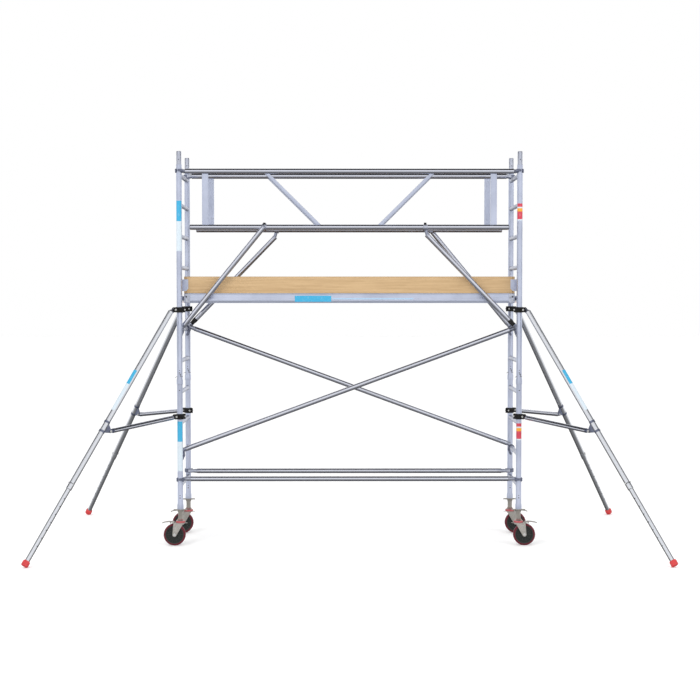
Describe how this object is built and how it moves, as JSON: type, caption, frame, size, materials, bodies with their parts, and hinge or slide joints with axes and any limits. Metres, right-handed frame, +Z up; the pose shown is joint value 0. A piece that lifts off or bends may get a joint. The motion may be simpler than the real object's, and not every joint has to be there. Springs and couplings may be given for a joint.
{
  "type": "mobile tower scaffold",
  "caption": "Narrow aluminium scaffold tower on height-adjustable castors, with ladder end frames, braces, a hatched platform, toe boards, guardrails and telescopic stabilisers.",
  "frame": {"origin": "on the floor below the middle of the tower", "axes": "+X along the bay, +Y across it to the back, +Z up"},
  "size_m": [5.5398, 2.9983, 3.599],
  "materials": {
    "frame_aluminium": "extruded, satin with a cool tint",
    "bright_aluminium": "bright drawn tube",
    "inner_leg": "bright drawn tube with a red foot",
    "toe_plywood": "birch plywood, clear varnish",
    "coated_plywood": "film-faced plywood with an anti-slip mesh",
    "zinc_steel": "zinc-plated steel",
    "wheel_rubber": "dark red tyre on a dark grey core",
    "black_clamp": "black powder coat"
  },
  "bodies": {
    "tower": {"lower_frame_left": "frame_aluminium", "upper_frame_left": "frame_aluminium", "lower_frame_right": "frame_aluminium", "upper_frame_right": "frame_aluminium", "guardrail_front": "bright_aluminium", "horizontal_brace_front": "bright_aluminium", "diagonal_brace_front": "bright_aluminium", "guardrail_back": "bright_aluminium", "horizontal_brace_back": "bright_aluminium", "diagonal_brace_back": "bright_aluminium", "guardrail_strut_front_left": "bright_aluminium", "guardrail_strut_front_right": "bright_aluminium", "guardrail_strut_back_left": "bright_aluminium", "guardrail_strut_back_right": "bright_aluminium", "platform_frame": "frame_aluminium", "platform_deck": "coated_plywood", "toe_board_front": "toe_plywood", "toe_board_back": "toe_plywood", "toe_board_left": "toe_plywood", "toe_board_right": "toe_plywood"},
    "hatch": {"platform_hatch": "coated_plywood"},
    "wind_lock_left": {"wind_lock_left": "zinc_steel"},
    "wind_lock_right": {"wind_lock_right": "zinc_steel"},
    "castor_nut_front_left": {"castor_nut_front_left": "zinc_steel"},
    "castor_stem_front_left": {"castor_stem_front_left": "zinc_steel"},
    "castor_fork_front_left": {"castor_fork_front_left": "zinc_steel"},
    "castor_wheel_front_left": {"castor_wheel_front_left": "wheel_rubber"},
    "castor_pedal_front_left": {"castor_pedal_front_left": "zinc_steel"},
    "castor_nut_front_right": {"castor_nut_front_right": "zinc_steel"},
    "castor_stem_front_right": {"castor_stem_front_right": "zinc_steel"},
    "castor_fork_front_right": {"castor_fork_front_right": "zinc_steel"},
    "castor_wheel_front_right": {"castor_wheel_front_right": "wheel_rubber"},
    "castor_pedal_front_right": {"castor_pedal_front_right": "zinc_steel"},
    "castor_nut_back_left": {"castor_nut_back_left": "zinc_steel"},
    "castor_stem_back_left": {"castor_stem_back_left": "zinc_steel"},
    "castor_fork_back_left": {"castor_fork_back_left": "zinc_steel"},
    "castor_wheel_back_left": {"castor_wheel_back_left": "wheel_rubber"},
    "castor_pedal_back_left": {"castor_pedal_back_left": "zinc_steel"},
    "castor_nut_back_right": {"castor_nut_back_right": "zinc_steel"},
    "castor_stem_back_right": {"castor_stem_back_right": "zinc_steel"},
    "castor_fork_back_right": {"castor_fork_back_right": "zinc_steel"},
    "castor_wheel_back_right": {"castor_wheel_back_right": "wheel_rubber"},
    "castor_pedal_back_right": {"castor_pedal_back_right": "zinc_steel"},
    "stabiliser_front_left": {"stabiliser_clamp_front_left": "black_clamp", "stabiliser_tube_front_left": "bright_aluminium", "stabiliser_arm_front_left": "bright_aluminium"},
    "stabiliser_leg_front_left": {"stabiliser_leg_front_left": "inner_leg"},
    "stabiliser_front_right": {"stabiliser_clamp_front_right": "black_clamp", "stabiliser_tube_front_right": "bright_aluminium", "stabiliser_arm_front_right": "bright_aluminium"},
    "stabiliser_leg_front_right": {"stabiliser_leg_front_right": "inner_leg"},
    "stabiliser_back_left": {"stabiliser_clamp_back_left": "black_clamp", "stabiliser_tube_back_left": "bright_aluminium", "stabiliser_arm_back_left": "bright_aluminium"},
    "stabiliser_leg_back_left": {"stabiliser_leg_back_left": "inner_leg"},
    "stabiliser_back_right": {"stabiliser_clamp_back_right": "black_clamp", "stabiliser_tube_back_right": "bright_aluminium", "stabiliser_arm_back_right": "bright_aluminium"},
    "stabiliser_leg_back_right": {"stabiliser_leg_back_right": "inner_leg"}
  },
  "joints": [
    {"name": "hatch_hinge", "type": "hinge", "parent": "tower", "child": "hatch", "pos_m": [0.96, 0.2139, 2.3108], "axis": [-1, 0, 0], "range_deg": [0, 92]},
    {"name": "wind_lock_turn_left", "type": "hinge", "parent": "tower", "child": "wind_lock_left", "pos_m": [-1.503, 0, 2.2305], "axis": [0, 0, 1], "range_deg": [0, 90]},
    {"name": "wind_lock_turn_right", "type": "hinge", "parent": "tower", "child": "wind_lock_right", "pos_m": [1.503, 0, 2.2305], "axis": [0, 0, 1], "range_deg": [0, 90]},
    {"name": "nut_turn_front_left", "type": "hinge", "parent": "tower", "child": "castor_nut_front_left", "pos_m": [-1.55, -0.35, 0.32], "axis": [0, 0, 1], "range_deg": [-2710, 11260]},
    {"name": "stem_height_front_left", "type": "slide", "parent": "tower", "child": "castor_stem_front_left", "axis": [0, 0, 1], "range_m": [-0.25, 0.06]},
    {"name": "swivel_front_left", "type": "hinge", "parent": "castor_stem_front_left", "child": "castor_fork_front_left", "pos_m": [-1.55, -0.35, 0.206], "axis": [0, 0, 1], "continuous": true},
    {"name": "wheel_spin_front_left", "type": "hinge", "parent": "castor_fork_front_left", "child": "castor_wheel_front_left", "pos_m": [-1.603, -0.35, 0.1], "axis": [0, 1, 0], "continuous": true},
    {"name": "brake_pedal_front_left", "type": "hinge", "parent": "castor_fork_front_left", "child": "castor_pedal_front_left", "pos_m": [-1.616, -0.35, 0.2135], "axis": [0, -1, 0], "range_deg": [0, 8]},
    {"name": "nut_turn_front_right", "type": "hinge", "parent": "tower", "child": "castor_nut_front_right", "pos_m": [1.55, -0.35, 0.32], "axis": [0, 0, 1], "range_deg": [-2710, 11260]},
    {"name": "stem_height_front_right", "type": "slide", "parent": "tower", "child": "castor_stem_front_right", "axis": [0, 0, 1], "range_m": [-0.25, 0.06]},
    {"name": "swivel_front_right", "type": "hinge", "parent": "castor_stem_front_right", "child": "castor_fork_front_right", "pos_m": [1.55, -0.35, 0.206], "axis": [0, 0, 1], "continuous": true},
    {"name": "wheel_spin_front_right", "type": "hinge", "parent": "castor_fork_front_right", "child": "castor_wheel_front_right", "pos_m": [1.603, -0.35, 0.1], "axis": [0, 1, 0], "continuous": true},
    {"name": "brake_pedal_front_right", "type": "hinge", "parent": "castor_fork_front_right", "child": "castor_pedal_front_right", "pos_m": [1.616, -0.35, 0.2135], "axis": [0, 1, 0], "range_deg": [0, 8]},
    {"name": "nut_turn_back_left", "type": "hinge", "parent": "tower", "child": "castor_nut_back_left", "pos_m": [-1.55, 0.35, 0.32], "axis": [0, 0, 1], "range_deg": [-2710, 11260]},
    {"name": "stem_height_back_left", "type": "slide", "parent": "tower", "child": "castor_stem_back_left", "axis": [0, 0, 1], "range_m": [-0.25, 0.06]},
    {"name": "swivel_back_left", "type": "hinge", "parent": "castor_stem_back_left", "child": "castor_fork_back_left", "pos_m": [-1.55, 0.35, 0.206], "axis": [0, 0, 1], "continuous": true},
    {"name": "wheel_spin_back_left", "type": "hinge", "parent": "castor_fork_back_left", "child": "castor_wheel_back_left", "pos_m": [-1.603, 0.35, 0.1], "axis": [0, 1, 0], "continuous": true},
    {"name": "brake_pedal_back_left", "type": "hinge", "parent": "castor_fork_back_left", "child": "castor_pedal_back_left", "pos_m": [-1.616, 0.35, 0.2135], "axis": [0, -1, 0], "range_deg": [0, 8]},
    {"name": "nut_turn_back_right", "type": "hinge", "parent": "tower", "child": "castor_nut_back_right", "pos_m": [1.55, 0.35, 0.32], "axis": [0, 0, 1], "range_deg": [-2710, 11260]},
    {"name": "stem_height_back_right", "type": "slide", "parent": "tower", "child": "castor_stem_back_right", "axis": [0, 0, 1], "range_m": [-0.25, 0.06]},
    {"name": "swivel_back_right", "type": "hinge", "parent": "castor_stem_back_right", "child": "castor_fork_back_right", "pos_m": [1.55, 0.35, 0.206], "axis": [0, 0, 1], "continuous": true},
    {"name": "wheel_spin_back_right", "type": "hinge", "parent": "castor_fork_back_right", "child": "castor_wheel_back_right", "pos_m": [1.603, 0.35, 0.1], "axis": [0, 1, 0], "continuous": true},
    {"name": "brake_pedal_back_right", "type": "hinge", "parent": "castor_fork_back_right", "child": "castor_pedal_back_right", "pos_m": [1.616, 0.35, 0.2135], "axis": [0, 1, 0], "range_deg": [0, 8]},
    {"name": "stabiliser_swing_front_left", "type": "hinge", "parent": "tower", "child": "stabiliser_front_left", "pos_m": [-1.55, -0.35, 1.184], "axis": [0, 0, 1], "range_deg": [-43, 43]},
    {"name": "leg_length_front_left", "type": "slide", "parent": "stabiliser_front_left", "child": "stabiliser_leg_front_left", "axis": [-0.4277, -0.3975, -0.8118], "range_m": [-0.6, 0.45]},
    {"name": "stabiliser_swing_front_right", "type": "hinge", "parent": "tower", "child": "stabiliser_front_right", "pos_m": [1.55, -0.35, 1.184], "axis": [0, 0, 1], "range_deg": [-43, 43]},
    {"name": "leg_length_front_right", "type": "slide", "parent": "stabiliser_front_right", "child": "stabiliser_leg_front_right", "axis": [0.4277, -0.3975, -0.8118], "range_m": [-0.6, 0.45]},
    {"name": "stabiliser_swing_back_left", "type": "hinge", "parent": "tower", "child": "stabiliser_back_left", "pos_m": [-1.55, 0.35, 1.184], "axis": [0, 0, 1], "range_deg": [-43, 43]},
    {"name": "leg_length_back_left", "type": "slide", "parent": "stabiliser_back_left", "child": "stabiliser_leg_back_left", "axis": [-0.4186, 0.4071, -0.8118], "range_m": [-0.6, 0.45]},
    {"name": "stabiliser_swing_back_right", "type": "hinge", "parent": "tower", "child": "stabiliser_back_right", "pos_m": [1.55, 0.35, 1.184], "axis": [0, 0, 1], "range_deg": [-43, 43]},
    {"name": "leg_length_back_right", "type": "slide", "parent": "stabiliser_back_right", "child": "stabiliser_leg_back_right", "axis": [0.4186, 0.4071, -0.8118], "range_m": [-0.6, 0.45]}
  ],
  "couplings": [
    {"joint": "nut_turn_front_left", "follows": "stem_height_front_left", "rad_per_m": -785.4},
    {"joint": "nut_turn_front_right", "follows": "stem_height_front_right", "rad_per_m": -785.4},
    {"joint": "nut_turn_back_left", "follows": "stem_height_back_left", "rad_per_m": -785.4},
    {"joint": "nut_turn_back_right", "follows": "stem_height_back_right", "rad_per_m": -785.4}
  ]
}
